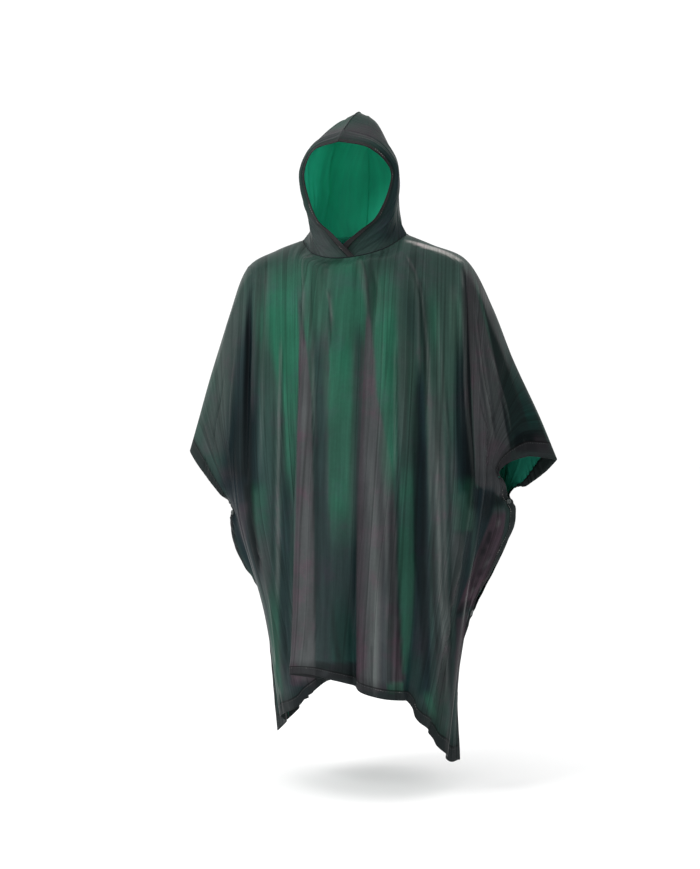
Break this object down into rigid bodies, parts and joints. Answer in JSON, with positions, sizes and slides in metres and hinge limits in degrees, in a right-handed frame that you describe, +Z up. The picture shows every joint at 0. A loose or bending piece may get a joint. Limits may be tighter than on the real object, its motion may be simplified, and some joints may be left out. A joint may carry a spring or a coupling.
{
  "type": "rain poncho",
  "caption": "Hooded rain poncho of thin plastic film, hollow as worn, one sheet folded over the shoulders with its front and back hems snapped together at each side.",
  "frame": {"origin": "base of the neck, midway between the shoulders, where the wearer carries the garment", "axes": "+Z up, the front of the garment faces -Y, +X towards the wearer's left"},
  "size_m": [0.813, 0.4434, 1.3731],
  "materials": {
    "poncho_film": "translucent dark green-grey film, semi-gloss",
    "hood_film": "translucent green film, semi-gloss",
    "hem_film": "doubled grey film, satin",
    "snap_plastic": "dark moulded plastic"
  },
  "bodies": {
    "root": {"front-panel": "poncho_film", "back-panel": "poncho_film", "hood-right": "hood_film", "hood-left": "hood_film", "front-bottom-hem": "hem_film", "front-side-hem-right": "hem_film", "front-side-hem-left": "hem_film", "back-bottom-hem": "hem_film", "back-side-hem-right": "hem_film", "back-side-hem-left": "hem_film", "face-hem-right": "hem_film", "face-hem-left": "hem_film", "front-snap-upper-right": "snap_plastic", "front-snap-lower-right": "snap_plastic", "front-snap-upper-left": "snap_plastic", "front-snap-lower-left": "snap_plastic", "back-snap-upper-right": "snap_plastic", "back-snap-lower-right": "snap_plastic", "back-snap-upper-left": "snap_plastic", "back-snap-lower-left": "snap_plastic"}
  },
  "joints": []
}
